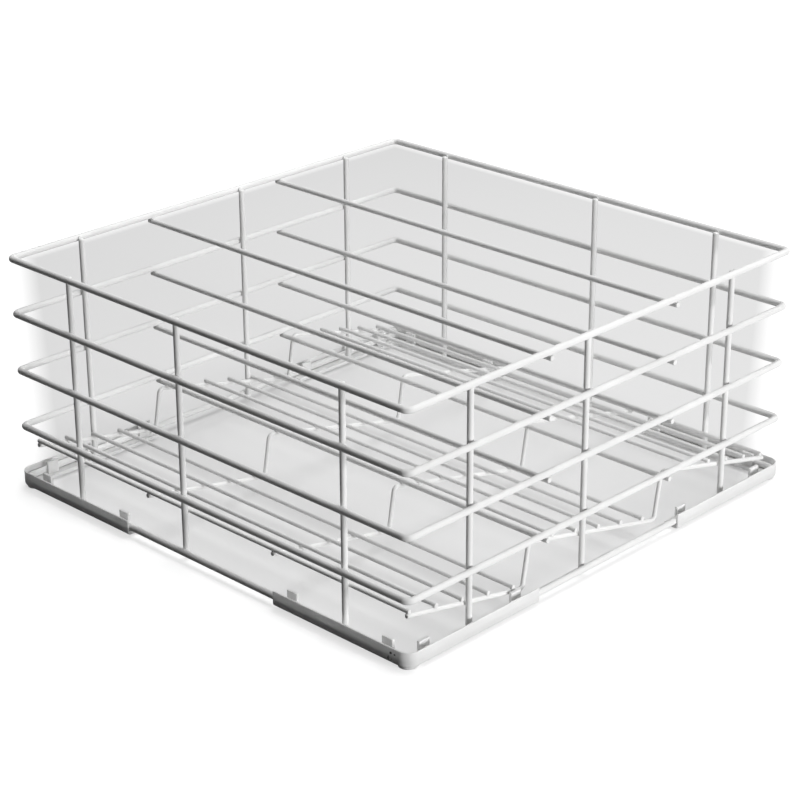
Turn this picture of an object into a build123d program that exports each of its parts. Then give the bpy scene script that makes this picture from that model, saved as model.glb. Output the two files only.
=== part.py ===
# Coated-wire dishwasher basket with a sloped three-row rack and four moulded corner runners.
# Millimetres. Origin: centre of the footprint, on the plane the feet stand on. +Z is up.
# X runs along the rows, Y across them. The front wall is at -Y, the right wall at +X.
import os
from math import asin, atan2, cos, degrees, hypot, radians, sin, sqrt, tan

from build123d import *

# Overall
footprint = 500.0
total_height = 226.2

# Wire sizes over the coating
ring_d = 6.0
upright_d = 5.5
divider_d = 5.0
support_d = 4.0
rod_d = 4.0

# Corner runners
runner_wall = 1.5
runner_height = 14.2
runner_floor = 3.5
runner_width = 15.0
runner_length = 156.5
runner_corner_r = 12.0
runner_edge_r = 3.0
foot_d = 17.0
foot_height = 2.2
foot_inset = 11.0
tab_width = 12.0
tab_thickness = 3.0
tab_over_wall = 1.6
tab_from_corner = 31.5
tab_from_end = 15.0
near_tab_shift = 5.0
wire_play = 0.2

# Rings: height of the lowest wall wire, and each ring's share of the way from there to the rim
low_ring_z = 60.5
ring_shares = (1.0, 0.677, 0.339, 0.0)
ring_corner_r = 5.5

# Uprights along each wall, from the wall's middle
upright_side = 169.0
upright_middle = -27.0
upright_under_rim = 2.5
upright_tip_r = 1.6
upright_floor_gap = 0.5

# Dividers
divider_pitch = 163.0
divider_overhang = 3.0

# Saw-tooth rack
support_inner_x = 80.0
support_back_y = 240.0
support_dip_z = 12.0
support_bend_r = 4.5
support_lean = 10.0
front_dip_y = -98.0
front_ramp_angle = 11.85
rear_ramp_angle = 14.0
rear_peak_over_divider = 1.9
front_rod_pitch = 31.0
middle_rod_pitch = 30.5
middle_rods_y = -1.0
rear_rod_pitch = 27.0
rods_per_row = 5

# Values that follow from the sizes above
outer = footprint / 2
ring_r = ring_d / 2
floor_top = foot_height + runner_floor
ring_half = outer - runner_wall - wire_play - ring_r
base_corner_r = runner_corner_r - runner_wall - wire_play - ring_r
rim_z = total_height - ring_r
ring_z = [low_ring_z + share * (rim_z - low_ring_z) for share in ring_shares]
base_z = floor_top + ring_r
upright_at = ring_half - ring_r - upright_d / 2
clear_half = upright_at - upright_d / 2
divider_half = ring_half + divider_overhang
divider_z = [z - ring_r - divider_d / 2 for z in ring_z]
divider_y = divider_pitch / 2

os.makedirs("parts", exist_ok=True)


def ring(name, z, corner_r):
    """A square of wire with rounded corners, its centre line at height z."""
    with BuildPart() as piece:
        with BuildLine(Plane.XY.offset(z)) as path:
            FilletPolyline(
                (-ring_half, -ring_half),
                (ring_half, -ring_half),
                (ring_half, ring_half),
                (-ring_half, ring_half),
                radius=corner_r,
                close=True,
            )
        with BuildSketch(Plane(origin=path.line @ 0, z_dir=path.line % 0)):
            Circle(ring_r)
        sweep(path=path.line)
    piece.part.label = name
    export_step(piece.part, f"parts/{name}.step")


def straight_wire(name, y, z, half, diameter):
    """A straight wire along X, centred on X = 0."""
    with BuildPart() as piece:
        with BuildSketch(Plane(origin=(-half, y, z), z_dir=(1, 0, 0))):
            Circle(diameter / 2)
        extrude(amount=2 * half)
    piece.part.label = name
    export_step(piece.part, f"parts/{name}.step")


# Rim, wall wires and base wire
ring("rim_wire", ring_z[0], ring_corner_r)
for level, z in enumerate(ring_z[1:], start=1):
    ring(f"wall_wire_{level}", z, ring_corner_r)
ring("base_wire", base_z, base_corner_r)

# Uprights: they stand inside the rings, from just above the runner floor to just under the top of the rim
walls = {"front": 0.0, "right": 90.0, "back": 180.0, "left": 270.0}
upright_foot_z = floor_top + upright_floor_gap
upright_places = (-upright_side, upright_middle, upright_side)
for wall, turn in walls.items():
    for number, place in enumerate(upright_places, start=1):
        spot = Vector(place, -upright_at, upright_foot_z).rotate(Axis.Z, turn)
        with BuildPart() as upright:
            with BuildSketch(Plane.XY.move(Location(spot))):
                Circle(upright_d / 2)
            extrude(amount=total_height - upright_under_rim - upright_foot_z)
            fillet(upright.edges().group_by(Axis.Z)[-1], radius=upright_tip_r)
        upright.part.label = f"upright_{wall}_{number}"
        export_step(upright.part, f"parts/upright_{wall}_{number}.step")

# Dividers: two under each ring, their ends showing just outside the side walls
for level, z in enumerate(divider_z):
    straight_wire(f"divider_{level}_front", -divider_y, z, divider_half, divider_d)
    straight_wire(f"divider_{level}_back", divider_y, z, divider_half, divider_d)

# Saw-tooth outline in Y and Z, worked from the rear peak forwards.
# The rear bend lies against the rear divider, and the middle ramp runs under the front divider.
low_z = divider_z[-1]
lean = radians(support_lean)
touch = (support_d + divider_d) / 2
rear_slope = radians(rear_ramp_angle)
bend_reach = support_bend_r * tan((radians(90) - lean + rear_slope) / 2)
rear_peak_z = low_z + rear_peak_over_divider
bend_z = rear_peak_z - bend_reach * cos(lean) - support_bend_r * sin(lean)
bend_y = divider_y + sqrt((support_bend_r + touch) ** 2 - (low_z - bend_z) ** 2)
rear_peak_y = bend_y - support_bend_r * cos(lean) + bend_reach * sin(lean)
rear_dip_y = rear_peak_y - (rear_peak_z - support_dip_z) * tan(lean)
to_divider = hypot(rear_dip_y + divider_y, low_z - support_dip_z)
middle_slope = atan2(low_z - support_dip_z, rear_dip_y + divider_y) - asin(touch / to_divider)
front_slope = radians(front_ramp_angle)
front_rise = (rear_dip_y - front_dip_y) * tan(middle_slope) / (1 + tan(lean) * tan(middle_slope))

front_end = (-clear_half, support_dip_z + (clear_half + front_dip_y) * tan(front_slope))
front_dip = (front_dip_y, support_dip_z)
front_peak = (front_dip_y + front_rise * tan(lean), support_dip_z + front_rise)
rear_dip = (rear_dip_y, support_dip_z)
rear_peak = (rear_peak_y, rear_peak_z)
rear_end = (support_back_y, rear_peak_z - (support_back_y - rear_peak_y) * tan(rear_slope))
saw_tooth = [front_end, front_dip, front_peak, rear_dip, rear_peak, rear_end]

# Rack supports: the outer two lie against the inner sides of the side uprights
support_outer_x = clear_half - support_d / 2
support_x = (-support_outer_x, -support_inner_x, support_inner_x, support_outer_x)
for number, x in enumerate(support_x, start=1):
    with BuildPart() as support:
        with BuildLine(Plane(origin=(x, 0, 0), x_dir=(0, 1, 0), z_dir=(1, 0, 0))) as path:
            FilletPolyline(*saw_tooth, radius=support_bend_r)
        with BuildSketch(Plane(origin=path.line @ 0, z_dir=path.line % 0)):
            Circle(support_d / 2)
        sweep(path=path.line)
    support.part.label = f"rack_support_{number}"
    export_step(support.part, f"parts/rack_support_{number}.step")


def rod_height(y, dip, slope):
    """Height of a rod's centre when it lies on the ramp that falls to the given point."""
    return dip[1] + (dip[0] - y) * tan(slope) + (support_d + rod_d) / 2 / cos(slope)


# Rack rods: the first lies against the front uprights, the last against the back uprights
rail_y = clear_half - rod_d / 2
rods = []
for i in range(rods_per_row):
    y = -rail_y + i * front_rod_pitch
    rods.append((y, rod_height(y, front_dip, front_slope)))
for i in range(rods_per_row):
    y = middle_rods_y + (i - (rods_per_row - 1) / 2) * middle_rod_pitch
    rods.append((y, rod_height(y, rear_dip, middle_slope)))
for i in range(rods_per_row):
    y = rail_y - (rods_per_row - 1 - i) * rear_rod_pitch
    rods.append((y, rod_height(y, rear_end, rear_slope)))
for number, (y, z) in enumerate(rods, start=1):
    straight_wire(f"rack_rod_{number:02d}", y, z, clear_half, rod_d)

# Corner runners: an L-shaped channel that the base wire lies in, held by tabs on its inner side
arm_end = outer - runner_length
runner_inner = outer - runner_width
wire_inner = ring_half - ring_r
tab_middle = wire_inner - wire_play - tab_thickness / 2
tab_height = runner_height - runner_floor + tab_over_wall


def elbow(outside, inside):
    """Corner points of an L in plan whose arms lie between two distances from the centre."""
    return [
        (arm_end, outside),
        (outside, outside),
        (outside, arm_end),
        (inside, arm_end),
        (inside, inside),
        (arm_end, inside),
    ]


# Tab places along each arm, from the corner. The near runner's right arm has its pair closer in.
tabs = (tab_from_corner, runner_length - tab_from_end)
closer_tabs = (tabs[0] - near_tab_shift, tabs[1] - near_tab_shift)
runners = {
    "right": (0.0, tabs, tabs),
    "back": (90.0, tabs, tabs),
    "left": (180.0, tabs, tabs),
    "near": (270.0, closer_tabs, tabs),
}
corner = (outer, outer)
wall_inner = outer - runner_wall
for place, (turn, x_arm_tabs, y_arm_tabs) in runners.items():
    with BuildPart() as runner:
        with BuildSketch(Plane.XY.offset(foot_height)) as floor_plan:
            with BuildLine():
                Polyline(*elbow(outer, runner_inner), close=True)
            make_face()
            fillet(floor_plan.vertices().sort_by_distance(corner)[0], radius=runner_corner_r)
        extrude(amount=runner_height)
        with BuildSketch(Plane.XY.offset(floor_top)) as channel_plan:
            with BuildLine():
                Polyline(*elbow(wall_inner, runner_inner), close=True)
            make_face()
            fillet(
                channel_plan.vertices().sort_by_distance(corner)[0],
                radius=runner_corner_r - runner_wall,
            )
        extrude(amount=runner_height, mode=Mode.SUBTRACT)
        low_edges = runner.edges().group_by(Axis.Z)[0]
        fillet(
            low_edges.filter_by(lambda e: max(e.center().X, e.center().Y) > outer - runner_width * 0.4),
            radius=runner_edge_r,
        )
        with BuildSketch(Plane.XY):
            with Locations((outer - foot_inset, outer - foot_inset)):
                Circle(foot_d / 2)
        extrude(amount=foot_height + runner_floor / 2)
        with BuildSketch(Plane.XY.offset(floor_top)):
            for reach in x_arm_tabs:
                with Locations((outer - reach, tab_middle)):
                    Rectangle(tab_width, tab_thickness)
            for reach in y_arm_tabs:
                with Locations((tab_middle, outer - reach)):
                    Rectangle(tab_thickness, tab_width)
        extrude(amount=tab_height)
    turned = runner.part.rotate(Axis.Z, turn)
    turned.label = f"corner_runner_{place}"
    export_step(turned, f"parts/corner_runner_{place}.step")
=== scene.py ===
import math
import bpy
import bmesh
from mathutils import Matrix, Vector


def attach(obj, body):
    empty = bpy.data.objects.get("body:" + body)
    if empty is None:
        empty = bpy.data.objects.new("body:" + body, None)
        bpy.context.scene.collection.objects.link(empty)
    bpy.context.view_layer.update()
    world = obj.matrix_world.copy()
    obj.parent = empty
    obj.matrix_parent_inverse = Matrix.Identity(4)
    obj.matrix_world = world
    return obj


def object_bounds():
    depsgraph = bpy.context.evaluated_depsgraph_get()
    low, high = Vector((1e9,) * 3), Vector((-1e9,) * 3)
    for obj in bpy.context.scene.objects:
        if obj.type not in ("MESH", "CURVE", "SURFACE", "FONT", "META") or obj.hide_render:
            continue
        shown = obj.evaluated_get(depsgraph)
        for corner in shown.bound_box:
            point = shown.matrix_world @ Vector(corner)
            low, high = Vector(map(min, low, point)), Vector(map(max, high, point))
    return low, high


# White wire basket: plastic-coated wires on moulded corner runners. Lengths are in metres.
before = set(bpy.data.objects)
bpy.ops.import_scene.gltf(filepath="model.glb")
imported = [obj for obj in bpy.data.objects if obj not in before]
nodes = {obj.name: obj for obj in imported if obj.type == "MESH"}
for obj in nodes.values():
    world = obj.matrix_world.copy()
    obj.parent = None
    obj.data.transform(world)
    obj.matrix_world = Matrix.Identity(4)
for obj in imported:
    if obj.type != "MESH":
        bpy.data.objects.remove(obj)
cad_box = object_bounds()
scene = bpy.context.scene
scene.view_settings.view_transform = "Standard"

# Coating that has run together where two wires touch: half length, radius at the waist and at the ends
WELD_HALF = 0.0012
WELD_WAIST = 0.0015
WELD_END = 0.0021
WELD_SIDES = 20
WELD_ROWS = 6

# Rounding of cut wire ends and moulded edges, with angles in degrees
WIRE_END_R = 0.0008
MOULD_EDGE_R = 0.0004
ROUND_SEGMENTS = 3
SHARP_ANGLE = 40
FLAT_ANGLE = 0.5
JOIN_REACH = 1e-5

# Wire coating and runner plastic: darker and lighter tone, range of roughness, strength of the shine
COATING_TONES = ((0.78, 0.78, 0.775), (0.84, 0.84, 0.837))
COATING_ROUGHNESS = (0.46, 0.60)
COATING_SHINE = 0.12
PLASTIC_TONES = ((0.79, 0.79, 0.785), (0.85, 0.85, 0.847))
PLASTIC_ROUGHNESS = (0.46, 0.58)
PLASTIC_SHINE = 0.25

# Light that soaks into the runner plastic: share and depth
SOAK_SHARE = 0.8
SOAK_DEPTH = 0.005

# Marks on the near corner runner: place and radius, colour, and how ragged a speck's edge is
SPECKS = [((0.2301, -0.250, 0.0118), 0.0016), ((0.2345, -0.250, 0.0116), 0.0011)]
SPECK_COLOUR = (0.03, 0.03, 0.03)
SPECK_RAGGED = 0.0016
SCUFF = ((0.2275, -0.250, 0.0042), 0.0060)
SCUFF_COLOUR = (0.16, 0.155, 0.15)
SCUFF_BAND = (0.48, 0.62)
SCUFF_STRENGTH = 0.75

# Camera fitted to the photo: place, angles in degrees and focal length in pixels of an 800 pixel picture
CAMERA_PLACE = (1.3142, -1.3530, 0.9002)
CAMERA_AZIMUTH = 44.19
CAMERA_ELEVATION = 23.45
CAMERA_ROLL = -0.29
FOCAL_PIXELS = 2246.1
PICTURE_PIXELS = 800.0
SENSOR_WIDTH = 36.0
CLIP_END = 100.0

# Floor: its grey outside, and the painted shade it gets inside the outline of what shows through the
# basket, and how brightly it shows close around the basket and inside that outline, where less glow adds
# to the painted shade
FLOOR_SIZE = 30.0
FLOOR_ROUGHNESS = 0.9
PAPER_AND_SHADE_GREYS = (0.66, 0.46)
GLOW_AROUND = 0.66
GLOW_IN_PAINTED_SHADE = 0.36

# Bands in which the floor's painted shade ends, along the base and past the outline's other sides
BASKET_EDGE = (0.235, 0.25)
SHADE_FADE = (-0.04, 0.015)

# Distance at which the floor has turned to plain white, past the basket's shadow
SHADOW_REACH = 1.0

# Light that the floor throws back up: far off and under the basket, and a patch to the right
THROW_GREYS = (0.12, 0.95)
BOUNCE_PLACE = (0.55, 0.05)
BOUNCE_REACH = (0.40, 0.45)
BOUNCE_CORE = 0.6
BOUNCE_SHARE = 0.6

# Light from all around, which only looks white
SKY_LIGHT = 0.012

# Lamps
KEY = {"place": (3.0, 0.0, 0.45), "target": (0, 0, 0.12), "size": (1.1, 0.8), "power": 75.5}
OVERHEAD = {"place": (-0.2, 0.5, 2.2), "target": (0, 0, 0.1), "size": (1.6, 1.6), "power": 45.0}

# Part of a noise's range that is used, the share of a spot that is at full strength, and plain ranges
NOISE_BAND = (0.3, 0.7)
SPOT_CORE = 0.55
RISE = (0.0, 1.0)
FALL = (1.0, 0.0)
WHITE = (1.0, 1.0, 1.0, 1.0)

# Names of the part's pieces, and how far from the middle the rack's front and rear rows begin
RINGS = ["rim_wire", "wall_wire_1", "wall_wire_2", "wall_wire_3", "base_wire"]
SUPPORTS = [f"rack_support_{i}" for i in range(1, 5)]
ROWS = [[f"rack_rod_{5 * row + i:02d}" for i in range(1, 6)] for row in range(3)]
ROW_EDGE = 0.1


def named(start):
    return [name for name in nodes if name.startswith(start)]


def box(name):
    points = [v.co for v in nodes[name].data.vertices]
    low = Vector([min(p[i] for p in points) for i in range(3)])
    high = Vector([max(p[i] for p in points) for i in range(3)])
    return low, high


def middle(name):
    low, high = box(name)
    return (low + high) / 2


def radius(name, axis):
    low, high = box(name)
    return (high[axis] - low[axis]) / 2


# Node helpers


def material(name):
    mat = bpy.data.materials.new(name)
    mat.use_nodes = True
    tree = mat.node_tree
    return mat, tree, tree.nodes["Principled BSDF"]


def noise(tree, coord, scale, detail=3.0):
    node = tree.nodes.new("ShaderNodeTexNoise")
    node.inputs["Scale"].default_value = scale
    node.inputs["Detail"].default_value = detail
    tree.links.new(coord, node.inputs["Vector"])
    return node.outputs


def ramp(tree, value, places, colours):
    """The first colour up to one place of a value, and the second from the other place on."""
    node = tree.nodes.new("ShaderNodeValToRGB")
    for element, place, colour in zip(node.color_ramp.elements, places, colours):
        element.position = place
        element.color = (*colour, 1.0)
    tree.links.new(value, node.inputs["Fac"])
    return node.outputs["Color"]


def remap(tree, value, source, target):
    node = tree.nodes.new("ShaderNodeMapRange")
    node.inputs["From Min"].default_value = source[0]
    node.inputs["From Max"].default_value = source[1]
    node.inputs["To Min"].default_value = target[0]
    node.inputs["To Max"].default_value = target[1]
    tree.links.new(value, node.inputs["Value"])
    return node.outputs["Result"]


def bump(tree, height, strength, distance, normal=None):
    node = tree.nodes.new("ShaderNodeBump")
    node.inputs["Strength"].default_value = strength
    node.inputs["Distance"].default_value = distance
    tree.links.new(height, node.inputs["Height"])
    if normal is not None:
        tree.links.new(normal, node.inputs["Normal"])
    return node.outputs["Normal"]


def blend(tree, factor, first, second):
    """One colour turning to a second, fixed one."""
    node = tree.nodes.new("ShaderNodeMix")
    node.data_type = "RGBA"
    tree.links.new(factor, node.inputs["Factor"])
    tree.links.new(first, node.inputs["A"])
    node.inputs["B"].default_value = (*second, 1.0)
    return node.outputs["Result"]


def calculate(tree, operation, *values):
    node = tree.nodes.new("ShaderNodeMath")
    node.operation = operation
    for socket, value in zip(node.inputs, values):
        tree.links.new(value, socket)
    return node.outputs["Value"]


def measure(tree, operation, coord, other):
    """A number from a place and a fixed vector: their distance or their dot product."""
    node = tree.nodes.new("ShaderNodeVectorMath")
    node.operation = operation
    tree.links.new(coord, node.inputs[0])
    node.inputs[1].default_value = other
    return node.outputs["Value"]


def near_to(tree, coord, place, reach):
    """A mask that is 1 around a place and falls to 0 at the given reach."""
    away = measure(tree, "DISTANCE", coord, place)
    return remap(tree, away, (SPOT_CORE * reach, reach), FALL)


def oval(tree, coord, place, reach):
    """A mask that is 1 at a place on the floor and falls to 0 at the edge of an oval."""
    shift = tree.nodes.new("ShaderNodeMapping")
    shift.vector_type = "TEXTURE"
    shift.inputs["Location"].default_value = (*place, 0.0)
    shift.inputs["Scale"].default_value = (*reach, 1.0)
    tree.links.new(coord, shift.inputs["Vector"])
    node = tree.nodes.new("ShaderNodeTexGradient")
    node.gradient_type = "SPHERICAL"
    tree.links.new(shift.outputs["Vector"], node.inputs["Vector"])
    return node.outputs["Fac"]


def seen_through(tree, coord):
    """A mask of the floor that the photo's camera sees through the basket, whose six sides are lines;
    the floor gets its painted shade there.
    """
    half, top = cad_box[1][0], cad_box[1][2]
    eye = Vector(CAMERA_PLACE)
    share = top / eye.z

    # Past the rim's far sides, and along the base's near sides
    far_x = (half + share * eye.x) / (1 - share)
    far_y = (half - share * eye.y) / (1 - share)
    sides = [((-1, 0, 0), far_x, SHADE_FADE), ((0, 1, 0), far_y, SHADE_FADE)]
    near = [edge - half for edge in BASKET_EDGE]
    sides += [((1, 0, 0), half, near), ((0, -1, 0), half, near)]

    # Past the upright corners to the left and the right
    for corner in (Vector((-half, -half, 0)), Vector((half, half, 0))):
        normal = (corner - eye).cross(Vector((0, 0, 1))).normalized()
        reach = normal.dot(corner)
        sides.append((normal * math.copysign(1, reach), abs(reach), SHADE_FADE))

    masks = []
    for normal, reach, fade in sides:
        band = (reach + fade[0], reach + fade[1])
        masks.append(remap(tree, measure(tree, "DOT_PRODUCT", coord, normal), band, FALL))
    mask = masks[0]
    for other in masks[1:]:
        mask = calculate(tree, "MINIMUM", mask, other)
    return mask


def seen_ray(tree):
    """1 for a ray from the camera, or one that shows the studio in something shiny or clear."""
    path = tree.nodes.new("ShaderNodeLightPath").outputs
    mirrored = calculate(tree, "MAXIMUM", path["Is Glossy Ray"], path["Is Transmission Ray"])
    return calculate(tree, "MAXIMUM", path["Is Camera Ray"], mirrored)


# Materials


def coated_wire():
    mat, tree, bsdf = material("coated_wire")
    coord = tree.nodes.new("ShaderNodeTexCoord").outputs["Object"]
    tone = noise(tree, coord, scale=22.0, detail=4.0)["Fac"]
    colour = ramp(tree, tone, NOISE_BAND, COATING_TONES)
    tree.links.new(colour, bsdf.inputs["Base Color"])
    patches = noise(tree, coord, scale=60.0)["Fac"]
    tree.links.new(remap(tree, patches, NOISE_BAND, COATING_ROUGHNESS), bsdf.inputs["Roughness"])
    bsdf.inputs["Specular IOR Level"].default_value = COATING_SHINE
    grain = noise(tree, coord, scale=420.0, detail=2.0)["Fac"]
    fine = bump(tree, grain, strength=0.10, distance=0.0005)
    waves = noise(tree, coord, scale=90.0, detail=2.0)["Fac"]
    uneven = bump(tree, waves, strength=0.12, distance=0.0012, normal=fine)
    tree.links.new(uneven, bsdf.inputs["Normal"])
    return mat


def speck_marks(tree, coord, colour):
    """Two dark specks with ragged edges."""
    ragged = tree.nodes.new("ShaderNodeVectorMath")
    ragged.operation = "MULTIPLY_ADD"
    tree.links.new(noise(tree, coord, scale=700.0, detail=2.0)["Color"], ragged.inputs[0])
    ragged.inputs[1].default_value = (SPECK_RAGGED, SPECK_RAGGED, SPECK_RAGGED)
    tree.links.new(coord, ragged.inputs[2])
    for place, reach in SPECKS:
        spot = tuple(value + SPECK_RAGGED / 2 for value in place)
        mask = near_to(tree, ragged.outputs["Vector"], spot, reach)
        colour = blend(tree, mask, colour, SPECK_COLOUR)
    return colour


def scuff_mark(tree, coord, colour):
    """A streaky grey scuff."""
    streaks = noise(tree, coord, scale=380.0, detail=4.0)["Fac"]
    streaks = remap(tree, streaks, SCUFF_BAND, (0.0, SCUFF_STRENGTH))
    mask = calculate(tree, "MULTIPLY", near_to(tree, coord, *SCUFF), streaks)
    return blend(tree, mask, colour, SCUFF_COLOUR)


def runner_plastic():
    mat, tree, bsdf = material("runner_plastic")
    coord = tree.nodes.new("ShaderNodeTexCoord").outputs["Object"]
    tone = noise(tree, coord, scale=16.0, detail=5.0)["Fac"]
    colour = ramp(tree, tone, NOISE_BAND, PLASTIC_TONES)
    colour = speck_marks(tree, coord, colour)
    colour = scuff_mark(tree, coord, colour)
    tree.links.new(colour, bsdf.inputs["Base Color"])
    patches = noise(tree, coord, scale=45.0)["Fac"]
    tree.links.new(remap(tree, patches, NOISE_BAND, PLASTIC_ROUGHNESS), bsdf.inputs["Roughness"])
    bsdf.inputs["Specular IOR Level"].default_value = PLASTIC_SHINE
    bsdf.inputs["Subsurface Weight"].default_value = SOAK_SHARE
    bsdf.inputs["Subsurface Radius"].default_value = (1.0, 1.0, 1.0)
    bsdf.inputs["Subsurface Scale"].default_value = SOAK_DEPTH
    grain = noise(tree, coord, scale=500.0, detail=2.0)["Fac"]
    tree.links.new(bump(tree, grain, strength=0.08, distance=0.0003), bsdf.inputs["Normal"])
    return mat


def floor_paper():
    """White paper with a grey painted shade where it shows through the basket, that throws light up only
    where set.
    """
    mat, tree, bsdf = material("floor_paper")
    coord = tree.nodes.new("ShaderNodeTexCoord").outputs["Object"]
    seen = seen_ray(tree)

    # Colour as it is seen: white paper, with a grey painted shade where it shows through the basket
    painted_shade = seen_through(tree, coord)
    # The second grey is painted shade under the basket, not a grey paper
    paper = ramp(tree, painted_shade, RISE, [(grey, grey, grey) for grey in PAPER_AND_SHADE_GREYS])

    # Colour for the light that it throws up: pale under the basket and in a patch to the right
    axes = tree.nodes.new("ShaderNodeSeparateXYZ")
    tree.links.new(coord, axes.inputs["Vector"])
    across = calculate(tree, "ABSOLUTE", axes.outputs["X"])
    along = calculate(tree, "ABSOLUTE", axes.outputs["Y"])
    under = remap(tree, calculate(tree, "MAXIMUM", across, along), BASKET_EDGE, FALL)
    patch = oval(tree, coord, BOUNCE_PLACE, BOUNCE_REACH)
    beside = remap(tree, patch, (0.0, BOUNCE_CORE), (0.0, BOUNCE_SHARE))
    bounce = calculate(tree, "MAXIMUM", under, beside)
    throw = ramp(tree, bounce, RISE, [(grey, grey, grey) for grey in THROW_GREYS])

    tone = tree.nodes.new("ShaderNodeMix")
    tone.data_type = "RGBA"
    tree.links.new(throw, tone.inputs["A"])
    tree.links.new(paper, tone.inputs["B"])
    tree.links.new(seen, tone.inputs["Factor"])
    tree.links.new(tone.outputs["Result"], bsdf.inputs["Base Color"])
    bsdf.inputs["Roughness"].default_value = FLOOR_ROUGHNESS
    bsdf.inputs["Specular IOR Level"].default_value = 0.0

    # White where only looked at, with less glow inside the outline seen through the basket as painted
    # shade
    around = near_to(tree, coord, (0, 0, 0), SHADOW_REACH)
    around = remap(tree, around, RISE, (1.0, GLOW_AROUND))
    # Glow cut down inside the outline: painted shade under the basket
    inside = remap(tree, painted_shade, RISE, (1.0, GLOW_IN_PAINTED_SHADE))
    glow = calculate(tree, "MINIMUM", around, inside)
    bsdf.inputs["Emission Color"].default_value = WHITE
    tree.links.new(calculate(tree, "MULTIPLY", seen, glow), bsdf.inputs["Emission Strength"])
    return mat


# Looks of the part's own pieces


def round_edges(obj, reach):
    mesh = obj.data
    for name in ("custom_normal", "sharp_edge", "sharp_face"):
        if name in mesh.attributes:
            mesh.attributes.remove(mesh.attributes[name])
    join = obj.modifiers.new("join", "WELD")
    join.merge_threshold = JOIN_REACH
    flat = obj.modifiers.new("flat", "DECIMATE")
    flat.decimate_type = "DISSOLVE"
    flat.angle_limit = math.radians(FLAT_ANGLE)
    edge = obj.modifiers.new("edge", "BEVEL")
    edge.width = reach
    edge.segments = ROUND_SEGMENTS
    edge.limit_method = "ANGLE"
    edge.angle_limit = math.radians(SHARP_ANGLE)
    edge.use_clamp_overlap = False
    obj.modifiers.new("normals", "WEIGHTED_NORMAL")


wire_mat = coated_wire()
runner_mat = runner_plastic()
for name, obj in nodes.items():
    moulded = name.startswith("corner_runner")
    obj.data.materials.clear()
    obj.data.materials.append(runner_mat if moulded else wire_mat)
for name in named("divider") + named("rack_rod") + SUPPORTS:
    round_edges(nodes[name], WIRE_END_R)
for name in named("corner_runner"):
    round_edges(nodes[name], MOULD_EDGE_R)


# Coating between touching wires


def add_weld(mesh, place, axis):
    """A short waisted plug around the line that joins two touching wires."""
    turn = axis.to_track_quat("Z", "Y").to_matrix().to_4x4()
    rows = []
    for row in range(WELD_ROWS + 1):
        along = 2.0 * row / WELD_ROWS - 1.0
        reach = WELD_WAIST + (WELD_END - WELD_WAIST) * along ** 2
        circle = []
        for side in range(WELD_SIDES):
            angle = 2 * math.pi * side / WELD_SIDES
            point = Vector((reach * math.cos(angle), reach * math.sin(angle), WELD_HALF * along))
            circle.append(mesh.verts.new(place + turn @ point))
        rows.append(circle)
    mesh.faces.new(list(reversed(rows[0])))
    mesh.faces.new(rows[-1])
    for low, high in zip(rows, rows[1:]):
        for i in range(WELD_SIDES):
            j = (i + 1) % WELD_SIDES
            mesh.faces.new((low[i], low[j], high[j], high[i])).smooth = True


def weld_places():
    """Each place where two wires touch, with the direction from one wire to the other."""
    places = []
    ring_r = radius("rim_wire", 2)
    upright_r = radius("upright_front_1", 0)
    divider_r = radius("divider_0_front", 2)
    rod_r = radius("rack_rod_01", 2)
    support_r = radius("rack_support_1", 0)
    ring_line = box("rim_wire")[1].x - ring_r
    support_x = [middle(name).x for name in SUPPORTS]

    # Rods on the supports, with each row's first rod, its slope and the direction square to that
    rows = []
    for row in ROWS:
        first = middle(row[0])
        along = (middle(row[-1]) - first).normalized()
        normal = Vector((0, -along.z, along.y))
        rows.append((first, along, normal))
        for rod in row:
            for x in support_x:
                spot = middle(rod)
                spot.x = x
                places.append((spot - rod_r * normal, normal))

    # Uprights on rings, on the outermost rods and on the outer supports
    for name in named("upright"):
        at = middle(name)
        across = abs(at.x) > abs(at.y)
        outward = Vector((0, math.copysign(1, at.y), 0))
        if across:
            outward = Vector((math.copysign(1, at.x), 0, 0))
        for ring in RINGS:
            places.append((Vector((at.x, at.y, middle(ring).z)) + upright_r * outward, outward))
        if across:
            first, along, normal = rows[0 if at.y < -ROW_EDGE else 1 if at.y < ROW_EDGE else 2]
            rod_line = first.z + (at.y - first.y) * along.z / along.y
            height = rod_line - (rod_r + support_r) / along.y
        else:
            height = middle(ROWS[0][0] if at.y < 0 else ROWS[2][-1]).z
        places.append((Vector((at.x, at.y, height)) - upright_r * outward, outward))

    # Dividers under the rings, and the lowest two on the rack supports
    for name in named("divider"):
        at = middle(name)
        for x in (-ring_line, ring_line):
            places.append((Vector((x, at.y, at.z + divider_r)), Vector((0, 0, 1))))
    front = middle("divider_3_front")
    rear = middle("divider_3_back")
    ramp_normal = rows[1][2]
    for name, x in zip(SUPPORTS, support_x):
        spot = Vector((x, front.y, front.z)) - divider_r * ramp_normal
        places.append((spot, ramp_normal))
        centre = Vector((x, rear.y, rear.z))
        flat = [Vector((x, v.co.y, v.co.z)) for v in nodes[name].data.vertices]
        touch = (min(flat, key=lambda p: (p - centre).length) - centre).normalized()
        places.append((centre + divider_r * touch, touch))
    return places


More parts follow.
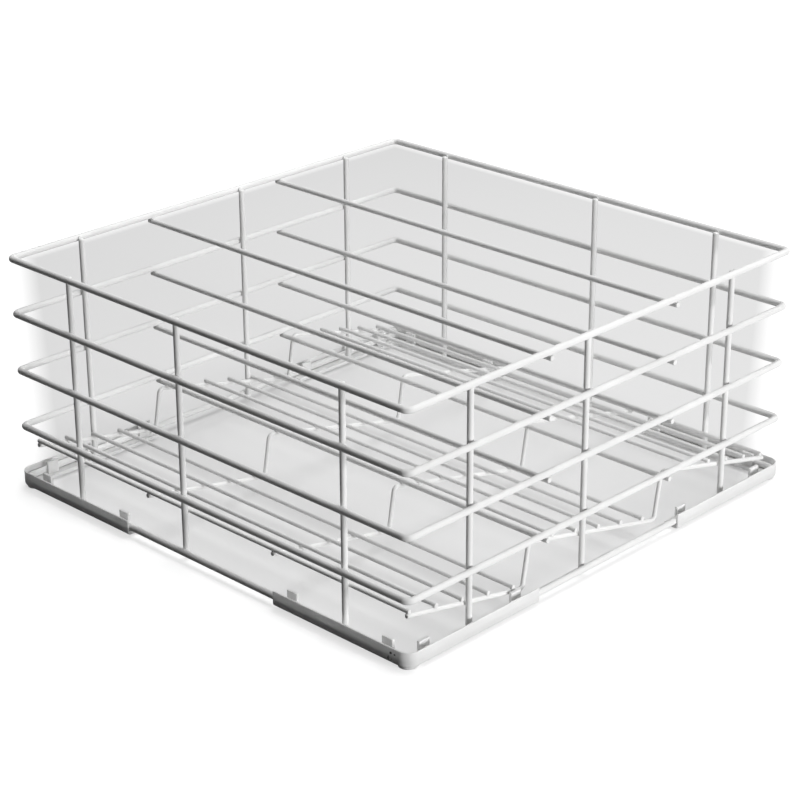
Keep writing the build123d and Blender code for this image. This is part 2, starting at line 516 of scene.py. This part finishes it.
def weld_coating():
    built = bmesh.new()
    for place, axis in weld_places():
        add_weld(built, place, axis)
    mesh = bpy.data.meshes.new("weld_coating")
    built.to_mesh(mesh)
    built.free()
    mesh.materials.append(wire_mat)
    obj = bpy.data.objects.new("weld_coating", mesh)
    scene.collection.objects.link(obj)
    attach(obj, "root")


weld_coating()


# Floor, world and lamps


def studio_world():
    """Hardly any light from around, with white to look at."""
    world = bpy.data.worlds.new("studio")
    scene.world = world
    world.use_nodes = True
    tree = world.node_tree
    sky = tree.nodes["Background"]
    sky.inputs["Color"].default_value = WHITE
    strength = remap(tree, seen_ray(tree), RISE, (SKY_LIGHT, 1.0))
    tree.links.new(strength, sky.inputs["Strength"])


def area(name, place, target, size, power):
    lamp = bpy.data.lights.new(name, "AREA")
    lamp.shape = "RECTANGLE"
    lamp.size = size[0]
    lamp.size_y = size[1]
    lamp.energy = power
    obj = bpy.data.objects.new(name, lamp)
    scene.collection.objects.link(obj)
    obj.location = place
    obj.visible_camera = False
    obj.rotation_euler = (Vector(target) - Vector(place)).to_track_quat("-Z", "Y").to_euler()


bpy.ops.mesh.primitive_plane_add(size=FLOOR_SIZE, location=(0, 0, 0))
floor = bpy.context.object
floor.name = "floor"
floor.data.materials.append(floor_paper())

studio_world()
area("key", **KEY)
area("overhead", **OVERHEAD)


# Camera


def photo_camera():
    azimuth = math.radians(CAMERA_AZIMUTH)
    elevation = math.radians(CAMERA_ELEVATION)
    roll = math.radians(CAMERA_ROLL)
    flat = math.cos(elevation)
    back = Vector((math.sin(azimuth) * flat, -math.cos(azimuth) * flat, math.sin(elevation)))
    side = Vector((0, 0, 1)).cross(back).normalized()
    above = back.cross(side)
    right = math.cos(roll) * side + math.sin(roll) * above
    up = -math.sin(roll) * side + math.cos(roll) * above
    lens = bpy.data.cameras.new("camera")
    lens.sensor_width = SENSOR_WIDTH
    lens.lens = SENSOR_WIDTH * FOCAL_PIXELS / PICTURE_PIXELS
    lens.clip_end = CLIP_END
    camera = bpy.data.objects.new("camera", lens)
    scene.collection.objects.link(camera)
    turn = Matrix((right, up, back)).transposed().to_4x4()
    camera.matrix_world = Matrix.Translation(CAMERA_PLACE) @ turn
    scene.camera = camera


photo_camera()
